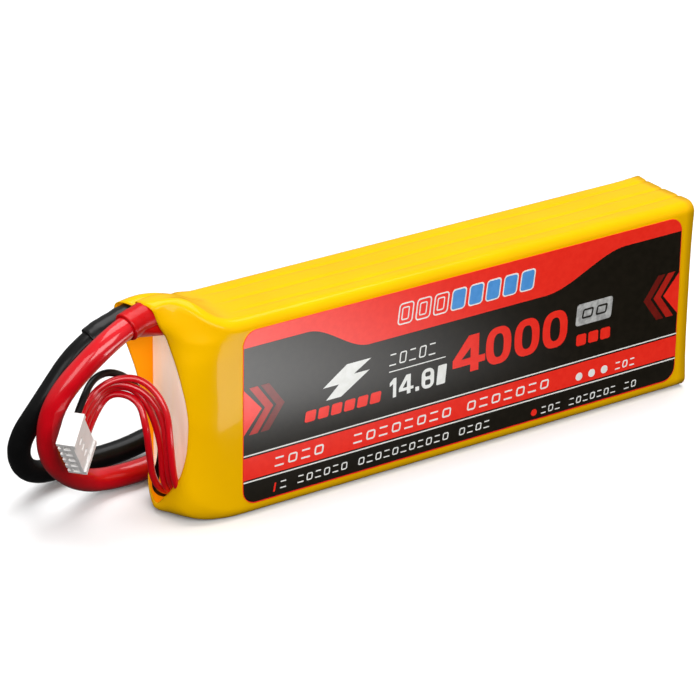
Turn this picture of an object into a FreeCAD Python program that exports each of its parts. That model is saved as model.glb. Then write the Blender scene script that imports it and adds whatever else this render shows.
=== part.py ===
import FreeCAD, Part
import math
import os

# Four-cell flat battery pack for radio control models, in millimetres.
# +X runs along the pack away from the leads, +Y points out of its back, +Z is up.
# The pack stands on one long narrow side, and the origin is under the middle of it.

Vec = FreeCAD.Vector
UP = Vec(0, 0, 1)
TOUCHING = 0.01

# ---- driving dimensions of the pack ----
PACK_HEIGHT = 50.0
PACK_BACK_Y = 12.0
LABEL_FACE_Y = -12.0
LABEL_THICK = 0.2
FAR_END_X = 77.6
LEAD_END_X = -73.0
FILM = 0.35
EDGE_RADIUS = 2.8
FRONT_NOSE_RADIUS = 9.0
BACK_NOSE_RADIUS = 6.0

# ---- mouth of the sleeve: Y and Z of the almond's turning points, and X and Z of the back flap ----
MOUTH_TIP = (4.0, 1.8)
MOUTH_FRONT = (-10.4, 20.0)
MOUTH_TOP = (-3.0, 46.5)
MOUTH_BACK_LOW_Z = 8.0
MOUTH_START_X = -93.0
FLAP_CORNERS = [(-62.0, 6.0), (-67.8, 6.0), (-70.4, 30.0), (-73.6, 41.0), (-74.6, 46.0), (-62.0, 46.0)]

# ---- cells ----
CELL_COUNT = 4
CELL_START_X = -56.0
CELL_END_X = 72.0
CELL_EDGE_RADIUS = 1.6
TERRACE_START_X = -64.0
TERRACE_THICK = 0.6
TERRACE_LOW_Z = 9.0
TERRACE_HIGH_Z = 41.0
PAD_THICK = 0.4
PAD_MARGIN = 3.0
TAPE_THICK = 0.15
TAPE_WIDTH = 16.0
TAPE_START_X = (-42.0, 48.0)
TAB_HEIGHT = 9.0
TAB_THICK = 0.2
TAB_LOW_Z = 12.0
TAB_HIGH_Z = 30.0
BOARD_FACE_X = -65.2
BOARD_THICK = 1.0
BOARD_FRONT_Y = -9.4
BOARD_BACK_Y = 10.4
BOARD_LOW_Z = 7.0
BOARD_HIGH_Z = 42.0
BOARD_FOOT_X = -58.0
BOARD_FOOT_MARGIN = 2.0
BUS_WIDTH = 0.8
JOINT_LENGTH = 2.6
CONDUCTOR_RADIUS = 1.8
SOLDER_GAP = 0.2
END_PAD_X = -66.8
END_PAD_THICK = 0.8
END_PAD_FRONT_Y = -8.8
END_PAD_BACK_Y = 10.8
END_PAD_LOW_Z = 6.6
END_PAD_HIGH_Z = 43.6
REAR_PAD_THICK = 1.2

# ---- label ----
LABEL_START_X = -56.8
LABEL_END_X = 74.2
LABEL_LOW_Z = 3.1
LABEL_HIGH_Z = 47.2
LABEL_CORNER = 3.8

# ---- power leads ----
LEAD_DIA = 5.5
COLLAR_DIA = 6.9
COLLAR_CLEARANCE = 0.1
RED_COLLAR_LENGTH = 22.0
BLACK_COLLAR_LENGTH = 25.5
HUMP_LENGTH = 16.6
HUMP_RAMP_LENGTH = 7.0
RED_ROUTE = [
    (-60.0, 1.6, 46.0), (-67.4, 1.7, 50.5), (-76.1, 1.2, 51.4), (-88.6, -1.0, 46.9),
    (-99.0, 3.5, 34.0), (-98.0, 7.5, 19.5), (-89.0, 12.5, 9.5), (-78.5, 17.5, 3.5),
    (-64.0, 17.8, 3.0), (-55.0, 18.05, 5.25), (-47.0, 18.05, 5.25)]
BLACK_ROUTE = [
    (-60.0, 8.9, 45.8), (-67.0, 9.1, 48.3), (-74.6, 9.0, 48.0), (-87.6, 9.8, 42.8),
    (-96.5, 10.5, 31.5), (-100.5, 17.5, 18.5), (-93.5, 24.5, 6.5), (-79.5, 29.5, 3.0),
    (-64.5, 28.5, 3.5), (-55.0, 28.95, 5.25), (-47.0, 28.95, 5.25)]

# ---- balance lead: the black wire first, then the four red ones ----
BALANCE_WIRE_DIA = 1.7
BALANCE_ROUTES = [
    [(-62.4, 3.6, 2.8), (-67.9, 4.2, 2.2), (-71.9, 3.5, 6.2), (-70.3, 0.9, 16.3), (-71.3, 4.0, 25.2),
     (-75.2, 6.4, 32.9), (-81.0, 6.0, 37.0), (-86.5, 4.8, 37.3), (-91.0, 1.9, 35.1), (-94.6, -0.6, 31.6)],
    [(-62.4, -4.0, 4.4), (-68.2, -4.1, 5.5), (-71.7, -5.6, 10.7), (-72.9, -6.0, 20.0), (-72.7, -4.3, 29.7),
     (-75.7, 1.1, 35.8), (-82.4, 4.3, 36.0), (-88.5, 5.5, 31.6), (-93.4, 0.3, 29.6)],
    [(-62.4, -2.1, 4.4), (-68.1, -2.2, 5.1), (-71.8, -3.5, 10.1), (-72.6, -4.1, 18.7), (-72.6, -2.3, 26.9),
     (-75.2, 1.8, 32.5), (-81.5, 5.9, 34.6), (-87.3, 6.4, 29.6), (-92.3, 1.3, 27.5)],
    [(-62.4, -0.2, 4.4), (-68.3, -0.2, 4.5), (-72.2, -1.5, 8.9), (-72.0, -1.0, 18.5), (-74.0, 1.1, 28.2),
     (-76.7, 4.8, 32.8), (-82.6, 7.6, 32.3), (-87.1, 6.6, 26.7), (-91.1, 2.2, 25.5)],
    [(-62.4, 1.7, 4.4), (-69.0, 1.8, 3.9), (-73.2, 1.2, 9.0), (-74.7, 0.3, 16.7), (-76.3, -1.2, 23.5),
     (-76.2, 2.0, 30.3), (-80.6, 7.9, 31.2), (-85.2, 8.1, 25.4), (-90.0, 3.1, 23.5)]]

# ---- balance plug: five ways at 2.5 mm ----
PLUG_WAYS = 5
PLUG_PITCH = 2.5
PLUG_ROW = 13.4
PLUG_DEPTH = 8.6
PLUG_THICK = 4.6
PLUG_CENTRE = Vec(-95.0, -0.9, 25.0)
PLUG_MATING_DIRECTION = Vec(-0.63, -0.50, -0.59)
PLUG_ROW_DIRECTION = Vec(0.46, 0.36, -0.81)
RAIL_WIDTH = 1.5
RAIL_RISE = 0.5
NOTCH_WIDTH = 1.2
NOTCH_DEPTH = 0.9
NOTCH_LENGTH = 2.2
CAVITY_SIDE = 1.7
CAVITY_DEPTH = 6.6
CONTACT_WALL = 0.25
CONTACT_LENGTH = 5.6

# ---- power connector: two poles lying side by side on the floor behind the pack ----
POLE_PITCH = 10.9
POLE_MIDDLE_Y = 23.5
POLE_Z = 5.25
HOUSING_WIDTH = 21.0
HOUSING_HEIGHT = 10.5
HOUSING_START_X = -41.0
HOUSING_NECK_X = -32.0
HOUSING_END_X = -18.0
GRIP_CORNER = 1.2
MATING_WIDTH = 19.0
MATING_HEIGHT = 8.6
KEY_CHAMFER = 2.6
SOCKET_OUTER_RADIUS = 3.0
SOCKET_BORE_RADIUS = 2.25
SOCKET_BORE_DEPTH = 15.0
CUP_START_X = -47.0
SHRINK_THICK = 0.5
SHRINK_START_X = -52.0


def route_edges(points):
    """Edges of straight runs joined by tangent arcs, and the radii of those arcs."""
    corners = [Vec(*point) for point in points]
    edges = []
    radii = []
    start = corners[0]
    for before, corner, after in zip(corners, corners[1:], corners[2:]):
        back = (before - corner).normalize()
        ahead = (after - corner).normalize()
        half_turn = (math.pi - back.getAngle(ahead)) / 2
        reach = 0.45 * min((before - corner).Length, (after - corner).Length)
        radius = reach / math.tan(half_turn)
        arc_start = corner + back * reach
        arc_end = corner + ahead * reach
        inward = (back + ahead).normalize()
        centre = corner + inward * (radius / math.cos(half_turn))
        edges.append(Part.LineSegment(start, arc_start).toShape())
        edges.append(Part.Arc(arc_start, centre - inward * radius, arc_end).toShape())
        radii.append(radius)
        start = arc_end
    edges.append(Part.LineSegment(start, corners[-1]).toShape())
    return edges, radii


def first_part(edges, length):
    """The stretch of a route from its start to the given length along it."""
    kept = []
    for edge in edges:
        if edge.Length >= length:
            last = edge.getParameterByLength(length)
            kept.append(edge.Curve.toShape(edge.FirstParameter, last))
            break
        kept.append(edge)
        length -= edge.Length
    return kept


def sweep(edges, radius):
    path = Part.Wire(edges)
    start = edges[0].valueAt(edges[0].FirstParameter)
    direction = edges[0].tangentAt(edges[0].FirstParameter)
    profile = Part.Wire(Part.makeCircle(radius, start, direction))
    return path.makePipeShell([profile], True, False)


def cord(name, points, diameter):
    """A round cord along its route, reported with its length, radii and volume ratio."""
    edges, radii = route_edges(points)
    solid = sweep(edges, diameter / 2)
    length = sum(edge.Length for edge in edges)
    expected = math.pi * diameter ** 2 / 4 * length
    print(name, "length %.1f" % length, "radii", ["%.1f" % radius for radius in radii],
          "volume ratio %.4f" % (solid.Volume / expected), "lowest %.2f" % solid.BoundBox.ZMin)
    return solid


def box(x1, x2, y1, y2, z1, z2):
    return Part.makeBox(x2 - x1, y2 - y1, z2 - z1, Vec(x1, y1, z1))


def joined(shapes):
    return shapes[0].multiFuse(shapes[1:]).removeSplitter()


def edges_along(shape, direction):
    straight = [edge for edge in shape.Edges if edge.Curve.TypeId == "Part::GeomLine"]
    return [edge for edge in straight
            if abs(edge.tangentAt(edge.FirstParameter).dot(direction)) > 0.999]


# ---- sleeve ----

def pack_body(inset):
    """The pack's outside, or with an inset the inside of its film, with a rounded nose at the lead end."""
    y1 = LABEL_FACE_Y + LABEL_THICK + inset
    y2 = PACK_BACK_Y - inset
    body = box(LEAD_END_X + inset, FAR_END_X, y1, y2, inset, PACK_HEIGHT - inset)
    front_nose = [edge for edge in edges_along(body, UP) if edge.BoundBox.XMax < 0 and edge.BoundBox.YMax < 0]
    body = body.makeFillet(FRONT_NOSE_RADIUS - inset, front_nose)
    back_nose = [edge for edge in edges_along(body, UP)
                 if edge.BoundBox.XMax < 0 and edge.BoundBox.YMin > y2 - TOUCHING]
    body = body.makeFillet(BACK_NOSE_RADIUS - inset, back_nose)
    rims = [edge for edge in body.Edges
            if edge.BoundBox.ZLength < TOUCHING and edge.BoundBox.XMin < FAR_END_X - TOUCHING]
    return body.makeFillet(EDGE_RADIUS - inset, rims)


def lead_humps(clearance):
    """The film's two arches over the lead collars, each with a ramp down to the flat top."""
    radius = COLLAR_DIA / 2 + clearance
    humps = []
    for route in (RED_ROUTE, BLACK_ROUTE):
        edges, _ = route_edges(route)
        start = Vec(*route[0])
        humps.append(sweep(first_part(edges, HUMP_LENGTH), radius))
        humps.append(Part.makeCone(radius, radius / 3, HUMP_RAMP_LENGTH, start, start - Vec(*route[1])))
    return humps


def mouth_cutter():
    """The almond mouth at the lead end, from its low tip to just under the leads."""
    back_y = PACK_BACK_Y - FILM
    tip = Vec(MOUTH_START_X, *MOUTH_TIP)
    front = Vec(MOUTH_START_X, *MOUTH_FRONT)
    top = Vec(MOUTH_START_X, *MOUTH_TOP)
    back_top = Vec(MOUTH_START_X, back_y, MOUTH_TOP[1])
    back_low = Vec(MOUTH_START_X, back_y, MOUTH_BACK_LOW_Z)
    outline = Part.Wire([
        Part.Arc(tip, front, top).toShape(),
        Part.LineSegment(top, back_top).toShape(),
        Part.LineSegment(back_top, back_low).toShape(),
        Part.LineSegment(back_low, tip).toShape()])
    return Part.Face(outline).extrude(Vec(END_PAD_X - END_PAD_THICK - MOUTH_START_X, 0, 0))


def back_flap():
    """The back of the film, which leans out past the nose towards its top."""
    y = PACK_BACK_Y - FILM
    outline = Part.makePolygon([Vec(x, y, z) for x, z in FLAP_CORNERS + FLAP_CORNERS[:1]])
    return Part.Face(outline).extrude(Vec(0, FILM, 0))


def shrink_sleeve():
    outside = joined([pack_body(0)] + lead_humps(COLLAR_CLEARANCE + FILM))
    shell = joined([outside.cut(pack_body(FILM)).cut(mouth_cutter()), back_flap()])
    for hump in lead_humps(COLLAR_CLEARANCE):
        shell = shell.cut(hump)
    return shell


def label():
    sheet = box(LABEL_START_X, LABEL_END_X, LABEL_FACE_Y, LABEL_FACE_Y + LABEL_THICK,
                LABEL_LOW_Z, LABEL_HIGH_Z)
    return sheet.makeFillet(LABEL_CORNER, edges_along(sheet, Vec(0, 1, 0)))


# ---- cell stack ----

STACK_FRONT_Y = LABEL_FACE_Y + LABEL_THICK + FILM + TAPE_THICK
STACK_BACK_Y = PACK_BACK_Y - FILM - TAPE_THICK
STACK_LOW_Z = FILM + TAPE_THICK
STACK_HIGH_Z = PACK_HEIGHT - FILM - TAPE_THICK
CELL_THICK = (STACK_BACK_Y - STACK_FRONT_Y - (CELL_COUNT - 1) * PAD_THICK) / CELL_COUNT


def cell_front_y(index):
    return STACK_FRONT_Y + index * (CELL_THICK + PAD_THICK)


def cell_middle_y(index):
    return cell_front_y(index) + CELL_THICK / 2


def stack_envelope(start_x, end_x, grow):
    """The outline of the four cells together, with its long edges rounded to sit in the film."""
    block = box(start_x, end_x, STACK_FRONT_Y - grow, STACK_BACK_Y + grow,
                STACK_LOW_Z - grow, STACK_HIGH_Z + grow)
    return block.makeFillet(EDGE_RADIUS - FILM - TAPE_THICK + grow, edges_along(block, Vec(1, 0, 0)))


def cell(index):
    """A pouch: its rounded body and the thin sealed terrace at the tab end."""
    y = cell_front_y(index)
    body = box(CELL_START_X, CELL_END_X, y, y + CELL_THICK, STACK_LOW_Z, STACK_HIGH_Z)
    body = body.makeFillet(CELL_EDGE_RADIUS, edges_along(body, UP))
    body = body.common(stack_envelope(CELL_START_X - 1, CELL_END_X + 1, 0))
    middle = cell_middle_y(index)
    terrace = box(TERRACE_START_X, CELL_START_X + 1, middle - TERRACE_THICK / 2, middle + TERRACE_THICK / 2,
                  TERRACE_LOW_Z, TERRACE_HIGH_Z)
    return joined([body, terrace])


def cell_pad(index):
    """A sheet of foam between one cell and the next."""
    y = cell_front_y(index) + CELL_THICK
    return box(CELL_START_X + PAD_MARGIN, CELL_END_X - PAD_MARGIN, y, y + PAD_THICK,
               STACK_LOW_Z + PAD_MARGIN, STACK_HIGH_Z - PAD_MARGIN)


def tape_band(start_x):
    """A turn of strapping tape round the four cells."""
    end_x = start_x + TAPE_WIDTH
    return stack_envelope(start_x, end_x, TAPE_THICK).cut(stack_envelope(start_x - 1, end_x + 1, 0))


def end_pad():
    return box(END_PAD_X, END_PAD_X + END_PAD_THICK, END_PAD_FRONT_Y, END_PAD_BACK_Y,
               END_PAD_LOW_Z, END_PAD_HIGH_Z)


def rear_pad():
    return stack_envelope(CELL_END_X, CELL_END_X + REAR_PAD_THICK, 0)


# ---- tabs and junction board ----

def tab_leg(index, low_z):
    """A cell's tab, lying on its terrace and reaching out through the board."""
    y = cell_middle_y(index) + TERRACE_THICK / 2
    return box(BOARD_FACE_X - TAB_THICK, TERRACE_START_X + 4, y, y + TAB_THICK, low_z, low_z + TAB_HEIGHT)


def tab_plate(y1, y2, z1, z2):
    """A flat strip on the board's outer face."""
    return box(BOARD_FACE_X - TAB_THICK, BOARD_FACE_X, y1, y2, z1, z2)


def tab_link(index):
    """The folded tabs that join one cell to the next in series, high and low by turns."""
    low_z = TAB_LOW_Z if index % 2 else TAB_HIGH_Z
    first = cell_middle_y(index) + TERRACE_THICK / 2
    second = cell_middle_y(index + 1) + TERRACE_THICK / 2 + TAB_THICK
    return joined([tab_leg(index, low_z), tab_leg(index + 1, low_z),
                   tab_plate(first, second, low_z, low_z + TAB_HEIGHT)])


def terminal_tab(index, edge_y, strip_y, over_from_y, over_to_y):
    """The stack's end tab, with a strip up the board and over its top to the lead."""
    leg_y = cell_middle_y(index) + TERRACE_THICK / 2
    leg = tab_leg(index, TAB_LOW_Z)
    low_plate = tab_plate(min(edge_y, leg_y), max(edge_y, leg_y + TAB_THICK),
                          TAB_LOW_Z, TAB_LOW_Z + TAB_HEIGHT)
    riser = tab_plate(min(edge_y, strip_y), max(edge_y, strip_y), TAB_LOW_Z, BOARD_HIGH_Z)
    across = tab_plate(min(edge_y, over_from_y), max(edge_y, over_to_y),
                       BOARD_HIGH_Z - BUS_WIDTH, BOARD_HIGH_Z)
    over = box(BOARD_FACE_X - TAB_THICK, BOARD_FOOT_X + 1, over_from_y, over_to_y,
               BOARD_HIGH_Z, BOARD_HIGH_Z + TAB_THICK)
    return joined([leg, low_plate, riser, across, over])


def positive_terminal():
    middle = RED_ROUTE[0][1]
    return terminal_tab(0, BOARD_FRONT_Y, BOARD_FRONT_Y + BUS_WIDTH,
                        middle - CONDUCTOR_RADIUS, middle + CONDUCTOR_RADIUS)


def negative_terminal():
    middle = BLACK_ROUTE[0][1]
    return terminal_tab(CELL_COUNT - 1, BOARD_BACK_Y, BOARD_BACK_Y - BUS_WIDTH,
                        middle - CONDUCTOR_RADIUS, middle + BUS_WIDTH)


def junction_board(tabs):
    plate = box(BOARD_FACE_X, BOARD_FACE_X + BOARD_THICK, BOARD_FRONT_Y, BOARD_BACK_Y,
                BOARD_LOW_Z, BOARD_HIGH_Z)
    foot = box(BOARD_FACE_X, BOARD_FOOT_X, BOARD_FRONT_Y + BOARD_FOOT_MARGIN,
               BOARD_BACK_Y - BOARD_FOOT_MARGIN, BOARD_LOW_Z, BOARD_LOW_Z + BOARD_THICK)
    board = joined([plate, foot])
    for tab in tabs:
        board = board.cut(tab)
    return board


def lead_joint(route):
    """The bare end of a power lead in its solder, down to the strip over the board."""
    start = Vec(*route[0])
    back = (start - Vec(*route[1])).normalize()
    conductor = Part.makeCylinder(CONDUCTOR_RADIUS, JOINT_LENGTH, start, back)
    top_z = BOARD_HIGH_Z + TAB_THICK
    solder = box(start.x + SOLDER_GAP, start.x + JOINT_LENGTH,
                 start.y - CONDUCTOR_RADIUS, start.y + BUS_WIDTH, top_z, start.z)
    return joined([conductor, solder])


def balance_joint(route):
    """The solder that holds a balance wire under the board's foot."""
    start = Vec(*route[0])
    radius = BALANCE_WIRE_DIA / 2
    return box(start.x + SOLDER_GAP, start.x + 2 * radius, start.y - radius, start.y + radius,
               start.z - radius, BOARD_LOW_Z)


# ---- cords and collars ----

def collar(route, length, lead):
    """Heat-shrink sleeve round a lead where it leaves the pack."""
    edges, _ = route_edges(route)
    return sweep(first_part(edges, length), COLLAR_DIA / 2).cut(lead)


# ---- balance plug ----

def plug_placement():
    """Local X along the row of ways, local Z towards the mating face."""
    mating = Vec(PLUG_MATING_DIRECTION).normalize()
    row = Vec(PLUG_ROW_DIRECTION)
    row = (row - mating * row.dot(mating)).normalize()
    across = mating.cross(row)
    return FreeCAD.Placement(PLUG_CENTRE, FreeCAD.Rotation(row, across, mating, "ZXY"))


def plug_way_x(way):
    return (way - (PLUG_WAYS - 1) / 2) * PLUG_PITCH


def in_plug_place(shape):
    shape.Placement = plug_placement()
    return shape


def balance_plug():
    half_row = PLUG_ROW / 2
    half_thick = PLUG_THICK / 2
    half_depth = PLUG_DEPTH / 2
    body = box(-half_row, half_row, -half_thick, half_thick - RAIL_RISE, -half_depth, half_depth)
    rails = [box(x, x + RAIL_WIDTH, -half_thick, half_thick, -half_depth, half_depth)
             for x in (-half_row, half_row - RAIL_WIDTH)]
    plug = joined([body] + rails)
    for way in range(PLUG_WAYS):
        x = plug_way_x(way)
        plug = plug.cut(box(x - CAVITY_SIDE / 2, x + CAVITY_SIDE / 2, -CAVITY_SIDE / 2, CAVITY_SIDE / 2,
                            half_depth - CAVITY_DEPTH, half_depth))
        plug = plug.cut(box(x - NOTCH_WIDTH / 2, x + NOTCH_WIDTH / 2, -half_thick, -half_thick + NOTCH_DEPTH,
                            half_depth - NOTCH_LENGTH, half_depth))
    return in_plug_place(plug)


def balance_contact(way):
    """A folded square socket at the bottom of its way."""
    x = plug_way_x(way)
    outer = CAVITY_SIDE / 2
    inner = outer - CONTACT_WALL
    z1 = PLUG_DEPTH / 2 - CAVITY_DEPTH
    z2 = z1 + CONTACT_LENGTH
    socket = box(x - outer, x + outer, -outer, outer, z1, z2)
    return in_plug_place(socket.cut(box(x - inner, x + inner, -inner, inner, z1 + 1, z2)))


# ---- power connector ----

def pole_y(side):
    return POLE_MIDDLE_Y + side * POLE_PITCH / 2


def rod(radius, x1, x2, side):
    return Part.makeCylinder(radius, x2 - x1, Vec(x1, pole_y(side), POLE_Z), Vec(1, 0, 0))


def connector_housing():
    """A grip block and a keyed mating nose, with one chamfered end that marks the positive pole."""
    half_width = HOUSING_WIDTH / 2
    half_height = HOUSING_HEIGHT / 2
    grip = box(HOUSING_START_X, HOUSING_NECK_X, POLE_MIDDLE_Y - half_width, POLE_MIDDLE_Y + half_width,
               POLE_Z - half_height, POLE_Z + half_height)
    grip = grip.makeFillet(GRIP_CORNER, edges_along(grip, Vec(1, 0, 0)))
    half_width = MATING_WIDTH / 2
    half_height = MATING_HEIGHT / 2
    nose = box(HOUSING_NECK_X, HOUSING_END_X, POLE_MIDDLE_Y - half_width, POLE_MIDDLE_Y + half_width,
               POLE_Z - half_height, POLE_Z + half_height)
    keyed = [edge for edge in edges_along(nose, Vec(1, 0, 0)) if edge.BoundBox.YMax < POLE_MIDDLE_Y]
    nose = nose.makeChamfer(KEY_CHAMFER, keyed)
    housing = joined([grip, nose])
    for side in (-1, 1):
        housing = housing.cut(rod(SOCKET_OUTER_RADIUS, HOUSING_START_X, HOUSING_END_X, side))
    return housing


def power_socket(side):
    """A round socket with its solder cup standing out of the back of the housing."""
    socket = rod(SOCKET_OUTER_RADIUS, CUP_START_X, HOUSING_END_X, side)
    return socket.cut(rod(SOCKET_BORE_RADIUS, HOUSING_END_X - SOCKET_BORE_DEPTH, HOUSING_END_X, side))


def connector_shrink(side, lead, socket):
    outer = rod(SOCKET_OUTER_RADIUS + SHRINK_THICK, SHRINK_START_X, HOUSING_START_X, side)
    return outer.cut(lead).cut(socket)


def write_parts():
    os.makedirs("parts", exist_ok=True)
    red = cord("positive_lead", RED_ROUTE, LEAD_DIA)
    black = cord("negative_lead", BLACK_ROUTE, LEAD_DIA)
    links = [tab_link(index) for index in range(CELL_COUNT - 1)]
    terminals = [positive_terminal(), negative_terminal()]
    parts = {
        "shrink_sleeve": shrink_sleeve(),
        "label": label(),
        "lead_end_pad": end_pad(),
        "rear_end_pad": rear_pad(),
        "junction_board": junction_board(links + terminals),
        "positive_terminal_tab": terminals[0],
        "negative_terminal_tab": terminals[1],
        "positive_lead": red,
        "negative_lead": black,
        "positive_joint": lead_joint(RED_ROUTE),
        "negative_joint": lead_joint(BLACK_ROUTE),
        "positive_collar": collar(RED_ROUTE, RED_COLLAR_LENGTH, red),
        "negative_collar": collar(BLACK_ROUTE, BLACK_COLLAR_LENGTH, black),
        "balance_plug": balance_plug(),
        "connector_housing": connector_housing(),
    }
    for index in range(CELL_COUNT):
        parts["cell_%d" % (index + 1)] = cell(index)
    for index, link in enumerate(links):
        parts["cell_pad_%d" % (index + 1)] = cell_pad(index)
        parts["tab_link_%d" % (index + 1)] = link
    for index, start_x in enumerate(TAPE_START_X):
        parts["tape_band_%d" % (index + 1)] = tape_band(start_x)
    for way, route in enumerate(BALANCE_ROUTES):
        parts["balance_wire_%d" % (way + 1)] = cord("balance_wire_%d" % (way + 1), route, BALANCE_WIRE_DIA)
        parts["balance_joint_%d" % (way + 1)] = balance_joint(route)
        parts["balance_contact_%d" % (way + 1)] = balance_contact(way)
    for pole, side, lead in (("positive", -1, red), ("negative", 1, black)):
        socket = power_socket(side)
        parts[pole + "_socket"] = socket
        parts[pole + "_connector_shrink"] = connector_shrink(side, lead, socket)
    for name, shape in parts.items():
        solids = len(shape.Solids)
        print(name, "valid", shape.isValid(), "solids", solids, "volume %.1f" % shape.Volume)
        shape.exportStep("parts/" + name + ".step")


write_parts()
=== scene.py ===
import bpy
import bmesh
import math
from mathutils import Matrix, Vector


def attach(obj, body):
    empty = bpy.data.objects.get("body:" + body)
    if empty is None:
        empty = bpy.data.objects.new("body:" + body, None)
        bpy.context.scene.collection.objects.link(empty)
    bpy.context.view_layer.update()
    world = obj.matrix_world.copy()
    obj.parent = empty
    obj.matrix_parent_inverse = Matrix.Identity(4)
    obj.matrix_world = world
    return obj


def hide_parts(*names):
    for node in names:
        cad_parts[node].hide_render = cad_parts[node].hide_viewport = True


# Four-cell flat battery pack, in metres. Sizes and places below are written in millimetres
# in the same frame as the CAD, and mm() turns them into metres.

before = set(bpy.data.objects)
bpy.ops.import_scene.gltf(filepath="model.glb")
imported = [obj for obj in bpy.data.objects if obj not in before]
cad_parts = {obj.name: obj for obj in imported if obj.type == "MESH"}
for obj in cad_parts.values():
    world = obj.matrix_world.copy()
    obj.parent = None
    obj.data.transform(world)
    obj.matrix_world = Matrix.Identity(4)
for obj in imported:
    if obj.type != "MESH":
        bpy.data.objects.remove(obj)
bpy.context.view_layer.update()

MM = 0.001

# ---- camera ----
CAMERA_AZIMUTH = -35.90
CAMERA_ELEVATION = 23.69
CAMERA_ROLL = 0.937
CAMERA_DISTANCE = 847.2
CAMERA_TARGET = (-26.97, -12.26, 35.78)
CAMERA_LENS = 186.45
CAMERA_SENSOR = 36.0
CAMERA_CLIP = (0.05, 20.0)

# ---- power leads and balance wires: the routes of the CAD's cords ----
LEAD_DIA = 5.5
COLLAR_DIA = 6.9
COLLAR_GAP = 0.02
COLLAR_LIP = 0.3
COLLAR_SIDES = 48
# How unevenly the collars shrank: height in millimetres and pace along the collar, of two waves.
COLLAR_WAVES = ((0.05, 0.9), (0.04, 2.3))
COLLAR_LENGTHS = (22.0, 25.5)
RED_ROUTE = [
    (-60.0, 1.6, 46.0), (-67.4, 1.7, 50.5), (-76.1, 1.2, 51.4), (-88.6, -1.0, 46.9), (-99.0, 3.5, 34.0),
    (-98.0, 7.5, 19.5), (-89.0, 12.5, 9.5), (-78.5, 17.5, 3.5), (-64.0, 17.8, 3.0), (-55.0, 18.05, 5.25),
    (-47.0, 18.05, 5.25)]
BLACK_ROUTE = [
    (-60.0, 8.9, 45.8), (-67.0, 9.1, 48.3), (-74.6, 9.0, 48.0), (-87.6, 9.8, 42.8), (-96.5, 10.5, 31.5),
    (-100.5, 17.5, 18.5), (-93.5, 24.5, 6.5), (-79.5, 29.5, 3.0), (-64.5, 28.5, 3.5), (-55.0, 28.95, 5.25),
    (-47.0, 28.95, 5.25)]
BALANCE_WIRE_DIA = 1.7
BALANCE_ROUTES = [
    [(-62.4, 3.6, 2.8), (-67.9, 4.2, 2.2), (-71.9, 3.5, 6.2), (-70.3, 0.9, 16.3), (-71.3, 4.0, 25.2),
     (-75.2, 6.4, 32.9), (-81.0, 6.0, 37.0), (-86.5, 4.8, 37.3), (-91.0, 1.9, 35.1), (-94.6, -0.6, 31.6)],
    [(-62.4, -4.0, 4.4), (-68.2, -4.1, 5.5), (-71.7, -5.6, 10.7), (-72.9, -6.0, 20.0), (-72.7, -4.3, 29.7),
     (-75.7, 1.1, 35.8), (-82.4, 4.3, 36.0), (-88.5, 5.5, 31.6), (-93.4, 0.3, 29.6)],
    [(-62.4, -2.1, 4.4), (-68.1, -2.2, 5.1), (-71.8, -3.5, 10.1), (-72.6, -4.1, 18.7), (-72.6, -2.3, 26.9),
     (-75.2, 1.8, 32.5), (-81.5, 5.9, 34.6), (-87.3, 6.4, 29.6), (-92.3, 1.3, 27.5)],
    [(-62.4, -0.2, 4.4), (-68.3, -0.2, 4.5), (-72.2, -1.5, 8.9), (-72.0, -1.0, 18.5), (-74.0, 1.1, 28.2),
     (-76.7, 4.8, 32.8), (-82.6, 7.6, 32.3), (-87.1, 6.6, 26.7), (-91.1, 2.2, 25.5)],
    [(-62.4, 1.7, 4.4), (-69.0, 1.8, 3.9), (-73.2, 1.2, 9.0), (-74.7, 0.3, 16.7), (-76.3, -1.2, 23.5),
     (-76.2, 2.0, 30.3), (-80.6, 7.9, 31.2), (-85.2, 8.1, 25.4), (-90.0, 3.1, 23.5)]]
BALANCE_LENGTHS = (62.8, 60.7, 57.4, 56.0, 54.9)

# ---- balance plug ----
PLUG_WAYS = 5
PLUG_PITCH = 2.5
PLUG_ROW = 13.4
PLUG_DEPTH = 8.6
PLUG_THICK = 4.6
PLUG_RAIL_WIDTH = 1.5
PLUG_RAIL_RISE = 0.5
PLUG_CENTRE = (-95.0, -0.9, 25.0)
PLUG_MATING_DIRECTION = (-0.63, -0.50, -0.59)
PLUG_ROW_DIRECTION = (0.46, 0.36, -0.81)

# ---- sleeve ----
FILM = 0.3
SECTION_FRONT_Y = -11.8
SECTION_BACK_Y = 12.0
SECTION_HEIGHT = 50.0
SECTION_RADIUS = 2.8
NOSE_START_X = -56.0
FAR_END_X = 77.6
SLEEVE_ROUND = 320
NOSE_STEPS = 30
BODY_STEPS = 56
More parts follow.
